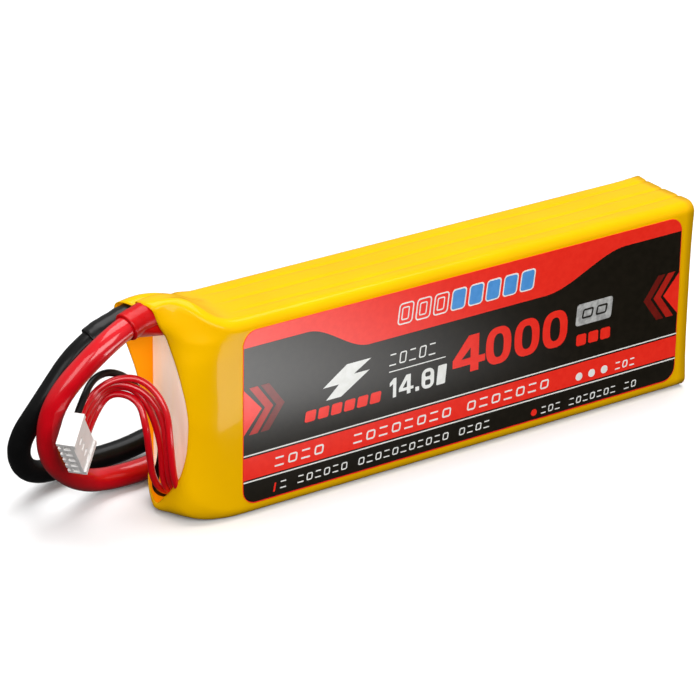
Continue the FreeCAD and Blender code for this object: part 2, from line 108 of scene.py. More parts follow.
# Ribs run from the straight section to the free edge of the film, as one cubic curve each.
# Each row, by the face that the rib leaves: the place on that face, the X of its first handle,
# its second handle, and its end on the free edge.
NOSE_RIBS = {
    "bottom": [
        (6.0, -66.0, (-72.0, 6.0, 0.6), (-70.9, 6.0, 3.7)),
        (2.0, -67.0, (-74.2, 1.5, 0.0), (-72.3, 1.5, 3.0)),
        (-3.5, -66.0, (-74.0, -3.6, 0.0), (-71.8, -1.6, 5.6)),
        (-8.5, -64.0, (-73.0, -9.0, 0.4), (-71.4, -4.3, 8.6)),
        (8.8, -63.0, (-70.2, 9.2, 1.4), (-69.8, 8.6, 5.0))],
    "front": [
        (3.0, -63.0, (-71.2, -10.6, 7.0), (-70.7, -6.9, 13.0)),
        (10.0, -61.5, (-69.0, -10.6, 17.0), (-69.9, -8.3, 19.9)),
        (20.0, -61.0, (-68.6, -10.7, 24.5), (-69.7, -8.5, 25.9)),
        (28.0, -61.0, (-68.7, -10.5, 30.0), (-70.0, -8.1, 30.5)),
        (35.0, -62.0, (-69.3, -10.5, 35.4), (-70.6, -7.1, 35.4)),
        (41.0, -63.0, (-69.8, -10.3, 40.6), (-71.0, -5.4, 39.9)),
        (45.0, -64.0, (-69.5, -9.3, 45.0), (-71.8, -3.0, 45.6)),
        (47.2, -65.0, (-67.0, -7.6, 48.4), (-73.9, -2.4, 50.0)),
        (48.5, -68.9, (-65.6, -2.5, 57.3), (-74.8, -2.2, 52.9))],
    "top": [
        (-9.0, -67.3, (-61.8, -2.1, 57.8), (-75.6, -0.6, 54.2)),
        (-6.0, -66.0, (-63.0, 0.5, 57.0), (-76.0, 0.4, 54.4)),
        (-1.5, -64.5, (-64.0, 2.0, 56.9), (-76.0, 1.5, 54.3)),
        (1.8, -62.0, (-65.0, 3.3, 56.6), (-75.9, 3.3, 54.0)),
        (3.8, -61.5, (-65.6, 5.2, 54.8), (-75.1, 5.2, 52.8)),
        (5.2, -61.5, (-66.0, 5.9, 52.8), (-74.4, 6.0, 51.2)),
        (6.6, -62.5, (-67.0, 6.9, 53.4), (-74.8, 6.7, 51.5)),
        (8.2, -64.0, (-68.0, 8.8, 54.6), (-75.7, 8.8, 51.8)),
        (9.2, -63.0, (-68.0, 10.9, 53.0), (-76.0, 10.9, 51.2))],
    "back": [
        (48.2, -61.5, (-69.0, 12.4, 49.6), (-76.0, 12.4, 48.9)),
        (44.0, -62.0, (-69.0, 12.3, 45.5), (-74.9, 12.2, 45.0)),
        (40.0, -62.0, (-68.0, 12.1, 40.5), (-73.5, 12.0, 40.5)),
        (30.0, -61.0, (-66.0, 12.0, 30.3), (-70.4, 11.9, 30.5)),
        (17.0, -60.0, (-65.0, 12.0, 17.0), (-68.3, 11.8, 17.1)),
        (9.0, -60.0, (-65.0, 12.0, 9.6), (-67.9, 11.6, 10.4)),
        (3.2, -61.0, (-67.4, 11.8, 4.6), (-68.3, 10.8, 7.0))]}
# The notch in the back edge between the flat top and the arch over the black lead.
NOTCH_PLACE = (-62.4, 12.6)
NOTCH_SPREAD = (1.5, 2.0)
NOTCH_DROP = 1.6
NOTCH_START_Z = 44.0
NOTCH_RISE = 5.0
# The film's back swells over the black collar, and less so at its free edge.
SWELL = 1.3
SWELL_RUN = 4.0
SWELL_Z = 47.0
SWELL_HEIGHT = 5.0
SWELL_START_Y = 8.0
SWELL_DEPTH = 4.0
FREE_EDGE_X = -76.0
EDGE_SWELL = 0.45
EDGE_RUN = 6.0
GROOVE_YS = (-6.0, 0.1, 6.1)
GROOVE_DEPTH = 0.28
GROOVE_WIDTH = 0.5
GROOVE_WANDER = 0.2
GROOVE_FADE = 6.0
COCKLE = 0.06
# The film flares a little where it was cut off at the far end.
FLARE_RUN = 3.2
FLARE_BACK = 0.25
FLARE_TOP = 0.2
FLARE_CORNER = 0.7

# ---- label ----
LABEL_FACE_Y = -12.0
LABEL_START_X = -56.8
LABEL_END_X = 74.2
LABEL_LOW_Z = 3.1
LABEL_CORNER = 3.8
PRINT_LAYER = 0.03
PRINT_START_X = LABEL_START_X + 0.1
FIELD_END_X = LABEL_END_X - 0.2
FIELD_BORDER = 0.35
FIELD_HIGH_Z = 43.1
FIELD_END_Z = FIELD_HIGH_Z + 0.3
FIELD_DIP_Z = 35.8
# Each wave of the dark field's top edge: where it starts and ends, where it is low, and how high it is.
FIELD_WAVES = [(56.5, 31.5, 31.5, FIELD_END_Z), (-21.0, -39.0, -21.0, FIELD_HIGH_Z)]
FIELD_STEPS = 28
FIELD_CORNER_STEPS = 8
CORNER_STEPS = 5
OVAL_STEPS = 40
OVAL_SQUARENESS = 2.6
BAND_LOW_Z = 9.55
BAND_HIGH_Z = 15.2
RULE_ZS = (15.62, 8.82)
RULE_HEIGHT = 0.32
CHEVRON_ZS = (21.0, 27.0, 32.9)
CHEVRON_STARTS = (1.5, 4.7)
CHEVRON_WIDTH = 2.3
CHEVRON_REACH = 4.4
TILE_COUNT = 8
OUTLINED_TILES = 3
TILE_START_X = -13.2
TILE_PITCH = 5.2
TILE_WIDTH = 4.4
TILE_LOW_Z = 38.5
TILE_HIGH_Z = 44.0
TILE_SLANT = 0.12
MARK_SLANT = 0.12

# ---- light ----
DOME_LOW = 0.04
DOME_HIGH = 0.36
CARD_CORNERS = [(-50, -62, 0.5), (300, -4, 0.5), (300, -700, 0.5), (-50, -700, 0.5)]
CARD_STRENGTHS = (0.02, 7.2)
CARD_GLOW_MIDDLE = (-0.05, -0.08, 0.0)
CARD_GLOW_SPREAD = (0.125, 0.15, 1.0)
# Name, place, aim and size in metres, and power in watts.
SOFTBOXES = [
    ("overhead", (0.05, 0.1, 0.9), (0.0, 0.0, 0.0), (0.9, 0.7), 7.8),
    ("left", (-0.9, -0.35, 0.45), (-0.05, 0.0, 0.03), (0.5, 0.7), 3.5),
    ("front", (-0.25, -1.0, 0.6), (0.0, 0.0, 0.03), (0.9, 0.6), 9.5)]
FLOOR_SIZE = 6.0

# ---- power connector ----
POLE_PITCH = 10.9
POLE_MIDDLE_Y = 23.5
POLE_Z = 5.25
HOUSING_WIDTH = 21.0
HOUSING_HEIGHT = 10.5
HOUSING_START_X = -41.0
HOUSING_NECK_X = -32.0
HOUSING_END_X = -18.0
MATING_WIDTH = 19.0
MATING_HEIGHT = 8.6
KEY_CHAMFER = 2.6
GRIP_GROOVES = 4
GRIP_GROOVE_START = 1.9
GRIP_GROOVE_PITCH = 1.6
GRIP_GROOVE_WIDTH = 0.8
GRIP_GROOVE_DEPTH = 0.5
GRIP_GROOVE_REACH = 3.2
SOCKET_OUTER_RADIUS = 3.0


def mm(point):
    """A point in millimetres as a vector in metres."""
    return Vector(point) * MM


def linked(name, data):
    """A new object in the scene."""
    thing = bpy.data.objects.new(name, data)
    bpy.context.collection.objects.link(thing)
    return thing


# ---- camera ----

def make_camera():
    """The camera, placed by its target, distance, azimuth, elevation and roll."""
    azimuth = math.radians(CAMERA_AZIMUTH)
    elevation = math.radians(CAMERA_ELEVATION)
    roll = math.radians(CAMERA_ROLL)
    back = Vector((math.sin(azimuth) * math.cos(elevation), -math.cos(azimuth) * math.cos(elevation),
                   math.sin(elevation)))
    level_right = Vector((0, 0, 1)).cross(back).normalized()
    level_up = back.cross(level_right)
    right = level_right * math.cos(roll) + level_up * math.sin(roll)
    up = level_up * math.cos(roll) - level_right * math.sin(roll)
    camera = linked("camera", bpy.data.cameras.new("camera"))
    camera.data.lens = CAMERA_LENS
    camera.data.sensor_width = CAMERA_SENSOR
    camera.data.clip_start, camera.data.clip_end = CAMERA_CLIP
    place = mm(CAMERA_TARGET) + back * CAMERA_DISTANCE * MM
    camera.matrix_world = Matrix.Translation(place) @ Matrix((right, up, back)).transposed().to_4x4()
    bpy.context.scene.camera = camera


# ---- material helpers ----

def fresh(nodes, kind, **inputs):
    """A new shader node with some of its inputs set."""
    node = nodes.new("ShaderNode" + kind)
    for name, value in inputs.items():
        node.inputs[name.replace("_", " ")].default_value = value
    return node


# The part of a noise pattern's range that carries most of it.
SOFT_LOW = 0.3
SOFT_HIGH = 0.7


class Finish:
    """A material whose shader sockets are reached by short calls."""

    def __init__(self, name, roughness, **uniform):
        self.material = bpy.data.materials.new(name)
        self.material.use_nodes = True
        self.nodes = self.material.node_tree.nodes
        self.links = self.material.node_tree.links
        self.shader = self.nodes["Principled BSDF"]
        self.shader.inputs["Roughness"].default_value = roughness
        for socket, value in uniform.items():
            self.shader.inputs[socket.replace("_", " ").title().replace("Ior", "IOR")].default_value = value
        self.place = self.nodes.new("ShaderNodeTexCoord").outputs["Object"]

    def stretched(self, scale):
        """The object's own coordinates, scaled along each axis."""
        mapping = fresh(self.nodes, "Mapping", Scale=scale)
        self.links.new(self.place, mapping.inputs["Vector"])
        return mapping.outputs["Vector"]

    def noise(self, scale, detail, stretch):
        node = fresh(self.nodes, "TexNoise", Scale=scale, Detail=detail)
        self.links.new(self.stretched(stretch) if stretch else self.place, node.inputs["Vector"])
        return node.outputs["Fac"]

    def wave(self, scale, direction, distortion):
        node = fresh(self.nodes, "TexWave", Scale=scale, Distortion=distortion)
        node.bands_direction = direction
        self.links.new(self.place, node.inputs["Vector"])
        return node.outputs["Fac"]

    def ranged(self, value, low, high, out_low=0.0, out_high=1.0):
        node = fresh(self.nodes, "MapRange", From_Min=low, From_Max=high, To_Min=out_low, To_Max=out_high)
        self.links.new(value, node.inputs["Value"])
        return node.outputs["Result"]

    def colour(self, factor, dark, light):
        """A base colour between two, by a factor."""
        node = self.nodes.new("ShaderNodeMix")
        node.data_type = "RGBA"
        self.links.new(factor, node.inputs["Factor"])
        for slot, value in (("A", dark), ("B", light)):
            socket = [entry for entry in node.inputs if entry.name == slot and entry.type == "RGBA"][0]
            socket.default_value = (*value, 1.0)
        mixed = [entry for entry in node.outputs if entry.type == "RGBA"][0]
        self.links.new(mixed, self.shader.inputs["Base Color"])

    def mottle(self, scale, detail, dark, light, low=SOFT_LOW, high=SOFT_HIGH, stretch=None):
        """A base colour that drifts between two tones."""
        self.colour(self.ranged(self.noise(scale, detail, stretch), low, high), dark, light)

    def rough(self, scale, detail, smooth, dull, stretch=None):
        """A roughness that drifts between two values."""
        value = self.ranged(self.noise(scale, detail, stretch), SOFT_LOW, SOFT_HIGH, smooth, dull)
        self.links.new(value, self.shader.inputs["Roughness"])

    def grain(self, scale, distance, strength, stretch=None, detail=2.0):
        """A noise bump, with its distance in millimetres."""
        self.bump(self.noise(scale, detail, stretch), distance, strength)

    def bump(self, height, distance, strength):
        node = fresh(self.nodes, "Bump", Distance=distance * MM, Strength=strength)
        previous = self.shader.inputs["Normal"]
        if previous.is_linked:
            self.links.new(previous.links[0].from_socket, node.inputs["Normal"])
        self.links.new(height, node.inputs["Height"])
        self.links.new(node.outputs["Normal"], previous)


def film_finish():
    """Glossy yellow heat-shrink film with faint length-wise draw lines and soft cockles."""
    finish = Finish("sleeve_film", 0.2, specular_ior_level=0.05, coat_weight=0.15, coat_roughness=0.04)
    finish.mottle(55.0, 4.0, (0.83, 0.43, 0.0), (0.87, 0.47, 0.0))
    finish.rough(420.0, 2.0, 0.16, 0.27)
    finish.grain(38.0, 0.25, 0.35, (0.5, 1.0, 1.0))
    finish.grain(900.0, 0.012, 0.6, (0.25, 1.0, 1.0))
    return finish.material


def painted_glow_inner_film_finish():
    """The film's inside, with a painted orange glow: its orange colour and its emission stand in for light
    that comes through the yellow film.
    """
    # Painted light: the emission makes the inside glow though it is no lamp, and the orange tones are the
    # yellow film painted as lit through.
    finish = Finish("sleeve_film_inside_painted_glow", 0.4, specular_ior_level=0.1, emission_strength=0.34)
    finish.shader.inputs["Emission Color"].default_value = (1.0, 0.32, 0.0, 1.0)
    finish.mottle(60.0, 3.0, (0.90, 0.30, 0.0), (0.95, 0.36, 0.0))
    finish.grain(300.0, 0.05, 0.5)
    return finish.material


def print_finish(name, dark, light, metallic=0.0):
    """Printed glossy label stock, with the faint mottle of ink and a fine orange peel."""
    finish = Finish(name, 0.3, specular_ior_level=0.58, metallic=metallic)
    finish.mottle(700.0, 3.0, dark, light, 0.35, 0.65)
    finish.grain(1300.0, 0.006, 0.5)
    return finish.material


def silicone_finish(name, dark, light, roughness, coat):
    """Soft silicone insulation: satin, with fine flow marks along it and a little dust."""
    finish = Finish(name, roughness, specular_ior_level=0.14, coat_weight=coat, coat_roughness=0.1)
    finish.mottle(160.0, 4.0, dark, light)
    finish.rough(600.0, 3.0, roughness - 0.05, roughness + 0.08)
    finish.grain(1500.0, 0.01, 0.5)
    return finish.material


def shrink_finish(name, dark, light):
    """Heat-shrink tubing: tight, slightly uneven and semi-gloss."""
    finish = Finish(name, 0.3, specular_ior_level=0.16, coat_weight=0.2, coat_roughness=0.15)
    finish.mottle(240.0, 3.0, dark, light)
    finish.rough(500.0, 2.0, 0.26, 0.42)
    finish.grain(320.0, 0.06, 0.5)
    return finish.material


def nylon_finish(name, dark, light):
    """Moulded nylon with a fine spark-eroded texture."""
    finish = Finish(name, 0.38, coat_weight=0.1, coat_roughness=0.3)
    finish.mottle(300.0, 3.0, dark, light)
    finish.rough(1600.0, 2.0, 0.32, 0.46)
    finish.grain(2600.0, 0.012, 0.5)
    return finish.material


def painted_glow_fibre_finish():
    """Pale insulation board under clear film, with soft upright creases in its gloss. Its emission is a
    painted glow that lifts it out of shade, and the paler upright streaks in its colour are painted
    highlights of the film over it.
    """
    # Painted light: the emission makes the board glow though it is no lamp.
    finish = Finish("fibre_paper", 0.3, coat_weight=0.5, coat_roughness=0.12, emission_strength=0.42)
    finish.shader.inputs["Emission Color"].default_value = (0.95, 0.76, 0.58, 1.0)
    # Painted highlight: the near-white tone, stretched into upright streaks, stands in for the gloss of the
    # film over the board.
    finish.mottle(26.0, 3.0, (0.92, 0.74, 0.60), (0.97, 0.92, 0.86), 0.38, 0.62, (1.0, 6.0, 1.0))
    finish.grain(30.0, 0.6, 0.5, (1.0, 7.0, 0.8))
    finish.grain(900.0, 0.02, 0.4)
    return finish.material


def board_finish():
    """Green circuit board with its woven glass showing faintly."""
    finish = Finish("circuit_board", 0.35, coat_weight=0.4, coat_roughness=0.1)
    finish.colour(finish.wave(900.0, "Y", 0.6), (0.01, 0.11, 0.03), (0.015, 0.16, 0.05))
    finish.bump(finish.wave(900.0, "Z", 0.6), 0.01, 0.5)
    return finish.material


def metal_finish(name, dark, light, roughness, grain):
    """Bare or plated metal, drawn or brushed along its length."""
    brushed = (0.1, 1.0, 1.0)
    finish = Finish(name, roughness, metallic=1.0)
    finish.mottle(180.0, 4.0, dark, light)
    finish.rough(grain, 3.0, roughness - 0.08, roughness + 0.12, brushed)
    finish.grain(grain, 0.008, 0.5, brushed)
    return finish.material


def pouch_finish():
    """Aluminium-laminate pouch: dull silver, softly dented."""
    finish = Finish("cell_pouch", 0.32, metallic=0.85)
    finish.mottle(90.0, 4.0, (0.55, 0.56, 0.58), (0.70, 0.71, 0.72))
    finish.grain(70.0, 0.15, 0.4, detail=3.0)
    return finish.material


def foam_finish():
    """Grey closed-cell foam tape."""
    finish = Finish("adhesive_foam", 0.85)
    finish.mottle(1200.0, 4.0, (0.16, 0.16, 0.17), (0.30, 0.30, 0.31))
    finish.grain(1800.0, 0.05, 0.8)
    return finish.material


def tape_finish():
    """Strapping tape: clear amber backing over rows of glass threads."""
    finish = Finish("strapping_tape", 0.3, coat_weight=0.4, coat_roughness=0.1)
    threads = finish.wave(260.0, "X", 0.3)
    finish.colour(threads, (0.55, 0.45, 0.24), (0.80, 0.72, 0.50))
    finish.bump(threads, 0.03, 0.7)
    return finish.material


PLAIN_FINISHES = {
    "sleeve_film": film_finish, "inner_film_painted_glow": painted_glow_inner_film_finish, "fibre_paper": painted_glow_fibre_finish,
    "circuit_board": board_finish, "cell_pouch": pouch_finish, "adhesive_foam": foam_finish,
    "strapping_tape": tape_finish}
# Finishes that are made in several tones: the dark one, the light one, and what else the finish takes.
TONED_FINISHES = {
    print_finish: {
        "label_print": ((0.93, 0.022, 0.010), (0.97, 0.030, 0.014)),
        "ink_black": ((0.007, 0.005, 0.002), (0.011, 0.008, 0.004)),
        "ink_white": ((0.86, 0.86, 0.82), (0.93, 0.93, 0.90)),
        "ink_blue": ((0.07, 0.30, 0.72), (0.09, 0.34, 0.78)),
        "ink_silver": ((0.45, 0.45, 0.44), (0.75, 0.75, 0.73), 0.3),
        "ink_red_mid": ((0.42, 0.012, 0.006), (0.48, 0.016, 0.008)),
        "ink_red_dark": ((0.14, 0.007, 0.004), (0.18, 0.009, 0.005))},
    silicone_finish: {
        "red_silicone": ((0.56, 0.0, 0.005), (0.64, 0.001, 0.008), 0.34, 0.95),
        "black_silicone": ((0.003, 0.003, 0.003), (0.006, 0.006, 0.006), 0.36, 0.14)},
    shrink_finish: {
        "red_shrink": ((0.46, 0.001, 0.002), (0.54, 0.002, 0.004)),
        "black_shrink": ((0.004, 0.004, 0.004), (0.009, 0.009, 0.009))},
    nylon_finish: {
        "white_nylon": ((0.84, 0.81, 0.79), (0.90, 0.88, 0.86)),
        "connector_nylon": ((0.80, 0.52, 0.01), (0.88, 0.60, 0.02))},
    metal_finish: {
        "tab_metal": ((0.62, 0.60, 0.55), (0.75, 0.73, 0.68), 0.3, 700.0),
        "solder": ((0.55, 0.56, 0.58), (0.72, 0.72, 0.74), 0.25, 300.0),
        "contact_plating": ((0.66, 0.65, 0.60), (0.78, 0.77, 0.72), 0.22, 900.0),
        "socket_plating": ((0.85, 0.58, 0.20), (0.95, 0.68, 0.28), 0.2, 900.0)}}


def make_finishes():
    """Every finish of the pack, by the record's material slot, and the label's inks."""
    made = {name: finish() for name, finish in PLAIN_FINISHES.items()}
    for finish, rows in TONED_FINISHES.items():
        for name, values in rows.items():
            made[name] = finish(name, *values)
    return made


FINISHES = make_finishes()


# ---- mesh helpers ----

def add_piece(name, mesh, slot, replaced="", finish=""):
    """Add a mesh or curve as a piece of the pack, in its slot's finish unless it has its own."""
    piece = linked(name, mesh)
    mesh.materials.append(FINISHES[finish or slot])
    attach(piece, "root")
    if replaced:
        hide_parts(replaced)
    return piece


def mesh_from(name, points, faces, smooth=True):
    """A mesh from its points and faces, shaded smooth or flat."""
    mesh = bpy.data.meshes.new(name)
    mesh.from_pydata([tuple(point) for point in points], [], faces)
    mesh.validate()
    for polygon in mesh.polygons:
        polygon.use_smooth = smooth
    return mesh


def grid_faces(rows, columns, closed):
    """Faces over rows of points that wrap round. The columns wrap too if the grid is closed."""
    faces = []
    for row in range(rows):
        beside = (row + 1) % rows * columns
        for column in range(columns if closed else columns - 1):
            ahead = (column + 1) % columns
            faces.append((row * columns + column, row * columns + ahead, beside + ahead, beside + column))
    return faces


def evaluated(piece):
    """The piece's mesh with its modifiers applied."""
    graph = bpy.context.evaluated_depsgraph_get()
    return bpy.data.meshes.new_from_object(piece.evaluated_get(graph))


def settled(piece):
    """The piece with its modifiers turned into its mesh."""
    result = evaluated(piece)
    piece.modifiers.clear()
    piece.data = result
    return piece


def block(low, high):
    """A box as a bmesh, from its low and high corners in millimetres."""
    x1, y1, z1 = low
    x2, y2, z2 = high
    shape = bmesh.new()
    size = Matrix.Diagonal((x2 - x1, y2 - y1, z2 - z1, 1))
    middle = Matrix.Translation(((x1 + x2) / 2, (y1 + y2) / 2, (z1 + z2) / 2))
    bmesh.ops.create_cube(shape, size=1.0, matrix=middle @ size)
    return shape


def tool_object(shape):
    """A bmesh as a loose object, for use as a cutter."""
    mesh = bpy.data.meshes.new("tool")
    shape.to_mesh(mesh)
    shape.free()
    return linked("tool", mesh)


def block_tool(low, high):
    return tool_object(block(low, high))


def carve(base, tools, operation="DIFFERENCE"):
    """Cut tools from a base object, or join them to it, and drop the tools."""
    for tool in tools:
        step = base.modifiers.new("carve", "BOOLEAN")
        step.operation = operation
        step.solver = "EXACT"
        step.object = tool
        settled(base)
        bpy.data.objects.remove(tool)
    return base


def rounded(thing, width, segments=2, angle=40.0):
    """Round an object's edges that are sharper than an angle in degrees."""
    step = thing.modifiers.new("round", "BEVEL")
    step.width = width
    step.segments = segments
    step.limit_method = "ANGLE"
    step.angle_limit = math.radians(angle)
    step.harden_normals = True
    return settled(thing)


def moulding(name, shape, place, slot, replaced):
    """A finished shape in millimetres as a piece of the pack."""
    mesh = shape.data.copy()
    bpy.data.objects.remove(shape)
    mesh.transform(Matrix.Diagonal((MM, MM, MM, 1)) @ place)
    mesh.name = name
    mesh.materials.clear()
    return add_piece(name, mesh, slot, replaced)


# ---- cords ----

def cord_curve(name, route, diameter, slot, replaced):
    """A round cord on one smooth spline through its route's control points."""
    line = bpy.data.curves.new(name, "CURVE")
    line.dimensions = "3D"
    spline = line.splines.new("NURBS")
    spline.points.add(len(route) - 1)
    for entry, point in zip(spline.points, route):
        entry.co = (*mm(point), 1.0)
    spline.order_u = 3
    spline.use_endpoint_u = True
    spline.resolution_u = 14
    line.bevel_depth = diameter / 2 * MM
    line.bevel_resolution = 8
    line.use_fill_caps = True
    return add_piece(name, line, slot, replaced)


def centreline(cord):
    """Points read from a cord's own spline, in metres."""
    line = cord.data.copy()
    line.bevel_depth = 0.0
    line.use_fill_caps = False
    thing = linked("line", line)
    mesh = evaluated(thing)
    points = [vertex.co.copy() for vertex in mesh.vertices]
    bpy.data.objects.remove(thing)
    return points


def first_stretch(points, length):
    """The points of a line up to a given length along it."""
    kept = [points[0]]
    for before, after in zip(points, points[1:]):
        step = (after - before).length
        if step >= length:
            kept.append(before.lerp(after, length / step))
            break
        kept.append(after)
        length -= step
    return kept


def collar_rings(path):
    """A collar's rings, out along its skin, round its lip and back inside: centre, axes and radius."""
    outer = COLLAR_DIA / 2 * MM
    inner = (LEAD_DIA / 2 + COLLAR_GAP) * MM
    lip = COLLAR_LIP * MM
    rings = []
    travelled = 0.0
    for index, point in enumerate(path):
        ahead = path[min(index + 1, len(path) - 1)] - path[max(index - 1, 0)]
        ahead.normalize()
        side = Vector((0, 1, 0)).cross(ahead).normalized()
        over = ahead.cross(side)
        if index:
            travelled += (point - path[index - 1]).length
        wave = sum(height * MM * math.sin(travelled / MM * pace) for height, pace in COLLAR_WAVES)
        rings.append((point, side, over, outer + wave))
    end, side, over, radius = rings.pop()
    for back, ring_radius in ((1.0, radius), (0.3, outer - lip * 0.2), (0.0, outer - lip), (0.0, inner)):
        rings.append((end - ahead * lip * back, side, over, ring_radius))
    rings.append((*rings[0][:3], inner))
    return rings


def make_collar(name, cord, length, slot, replaced):
    """Heat-shrink round a lead: a thin sleeve with a rolled end, drawn in a little along its length."""
    rings = collar_rings(first_stretch(centreline(cord), length * MM))
    points = []
    for centre, side, over, radius in rings:
        for step in range(COLLAR_SIDES):
            turn = 2 * math.pi * step / COLLAR_SIDES
            points.append(centre + side * (radius * math.cos(turn)) + over * (radius * math.sin(turn)))
    mesh = mesh_from(name, points, grid_faces(len(rings), COLLAR_SIDES, True))
    return add_piece(name, mesh, slot, replaced)


# ---- sleeve ----

FLAT_WIDTH = SECTION_BACK_Y - SECTION_FRONT_Y - 2 * SECTION_RADIUS
FLAT_HEIGHT = SECTION_HEIGHT - 2 * SECTION_RADIUS
CORNER_LENGTH = math.pi / 2 * SECTION_RADIUS
PERIMETER = 2 * (FLAT_WIDTH + FLAT_HEIGHT) + 4 * CORNER_LENGTH
# Where the section's flat runs end and its corners begin.
LOW_Y = SECTION_FRONT_Y + SECTION_RADIUS
HIGH_Y = SECTION_BACK_Y - SECTION_RADIUS
LOW_Z = SECTION_RADIUS
HIGH_Z = SECTION_HEIGHT - SECTION_RADIUS


def round_place(face, at):
    """How far round the section a place on one of its faces is, from the back of the bottom."""
    if face == "bottom":
        return HIGH_Y - at
    if face == "front":
        return FLAT_WIDTH + CORNER_LENGTH + at - SECTION_RADIUS
    if face == "top":
        return FLAT_WIDTH + FLAT_HEIGHT + 2 * CORNER_LENGTH + at - LOW_Y
    return 2 * FLAT_WIDTH + FLAT_HEIGHT + 3 * CORNER_LENGTH + SECTION_HEIGHT - SECTION_RADIUS - at


def section_point(distance):
    """The point (y, z) at a distance round the section."""
    distance %= PERIMETER
    runs = [
        ((HIGH_Y, 0.0), (LOW_Y, 0.0), (LOW_Y, LOW_Z)),
        ((SECTION_FRONT_Y, LOW_Z), (SECTION_FRONT_Y, HIGH_Z), (LOW_Y, HIGH_Z)),
        ((LOW_Y, SECTION_HEIGHT), (HIGH_Y, SECTION_HEIGHT), (HIGH_Y, HIGH_Z)),
        ((SECTION_BACK_Y, HIGH_Z), (SECTION_BACK_Y, LOW_Z), (HIGH_Y, LOW_Z))]
    for start, end, centre in runs:
        length = math.dist(start, end)
        if distance < length:
            share = distance / length
            return start[0] + (end[0] - start[0]) * share, start[1] + (end[1] - start[1]) * share
        distance -= length
        if distance < CORNER_LENGTH:
            turn = distance / SECTION_RADIUS
            arm_y = end[0] - centre[0]
            arm_z = end[1] - centre[1]
            return (centre[0] + arm_y * math.cos(turn) + arm_z * math.sin(turn),
                    centre[1] + arm_z * math.cos(turn) - arm_y * math.sin(turn))
        distance -= CORNER_LENGTH
    return HIGH_Y, 0.0


def smooth_through(places, rows, distance):
    """Numbers at a distance round the section, on smooth curves through the rows, without overshoot."""
    count = len(places)
    index = max([number for number in range(count) if places[number] <= distance], default=-1)

    def knot(number):
        return places[number % count] + PERIMETER * (number // count)

    def slope(number, column):
        before = knot(number) - knot(number - 1)
        after = knot(number + 1) - knot(number)
        value = rows[number % count][column]
        back = (value - rows[(number - 1) % count][column]) / before
        ahead = (rows[(number + 1) % count][column] - value) / after
        if back * ahead <= 0:
            return 0.0
        return (before + after) / (before / ahead + after / back) if abs(back) > 1e-9 else 0.0

    span = knot(index + 1) - knot(index)
    share = (distance - knot(index)) / span
    values = []
    for column in range(len(rows[0])):
        start = rows[index % count][column]
        end = rows[(index + 1) % count][column]
        arrived = share * share * (3 - 2 * share)
        leaving = slope(index, column) * (share * (1 - share) ** 2 * span)
        arriving = slope(index + 1, column) * (share * share * (share - 1) * span)
        values.append(start * (1 - arrived) + end * arrived + leaving + arriving)
    return values


def bell(value, middle, width):
    """One at the middle, falling to nothing on both sides."""
    return math.exp(-((value - middle) / width) ** 2)


def eased(value):
    """A value held between zero and one, with soft ends."""
    value = min(1.0, max(0.0, value))
    return value * value * (3 - 2 * value)


def cubic(ends, share):
    """A point on a cubic curve from its start, its two handles and its end."""
    rest = 1 - share
    return (ends[0] * rest ** 3 + ends[1] * (3 * rest ** 2 * share)
            + ends[2] * (3 * rest * share ** 2) + ends[3] * share ** 3)


def nose_rib(distance, places, rows):
    """Points of one rib, from the straight section to the free edge."""
    y, z = section_point(distance)
    reach_x, x2, y2, z2, x3, y3, z3 = smooth_through(places, rows, distance)
    ends = [Vector((NOSE_START_X, y, z)), Vector((reach_x, y, z)), Vector((x2, y2, z2)), Vector((x3, y3, z3))]
    notch_drop = NOTCH_DROP * eased((z - NOTCH_START_Z) / NOTCH_RISE)
    points = []
    for step in range(NOSE_STEPS + 1):
        point = cubic(ends, step / NOSE_STEPS)
        near = bell(point.x, NOTCH_PLACE[0], NOTCH_SPREAD[0]) * bell(point.y, NOTCH_PLACE[1], NOTCH_SPREAD[1])
        point.z -= notch_drop * near
        swell = SWELL * eased((NOSE_START_X - point.x) / SWELL_RUN) * bell(point.z, SWELL_Z, SWELL_HEIGHT)
        swell *= EDGE_SWELL + (1 - EDGE_SWELL) * eased((point.x - FREE_EDGE_X) / EDGE_RUN)
        point.y += swell * eased((point.y - SWELL_START_Y) / SWELL_DEPTH)
        points.append(point)
    return points


def body_point(x, y, z):
    """A point of the straight body, with the grooves between the cells and the flared far edge."""
    fade = min(1.0, (x - NOSE_START_X) / GROOVE_FADE)
    if z > SECTION_HEIGHT - 0.01:
        for groove in GROOVE_YS:
            line_y = groove + GROOVE_WANDER * math.sin(x * 0.11 + groove)
            z -= fade * GROOVE_DEPTH * bell(y, line_y, GROOVE_WIDTH)
        z += fade * COCKLE * math.sin(x * 0.21 + y * 0.35)
    flare = bell(x, FAR_END_X, FLARE_RUN)
    middle_y = (SECTION_FRONT_Y + SECTION_BACK_Y) / 2
    middle_z = SECTION_HEIGHT / 2
    if y > middle_y:
        y += FLARE_BACK * flare * (y - middle_y) / (SECTION_BACK_Y - middle_y)
    corner = abs(y - middle_y) / SECTION_BACK_Y * abs(z - middle_z) / middle_z
    x += FLARE_CORNER * flare * corner ** 3
    if z > middle_z:
        z += FLARE_TOP * flare * (z - middle_z) / middle_z
    return Vector((x, y, z))


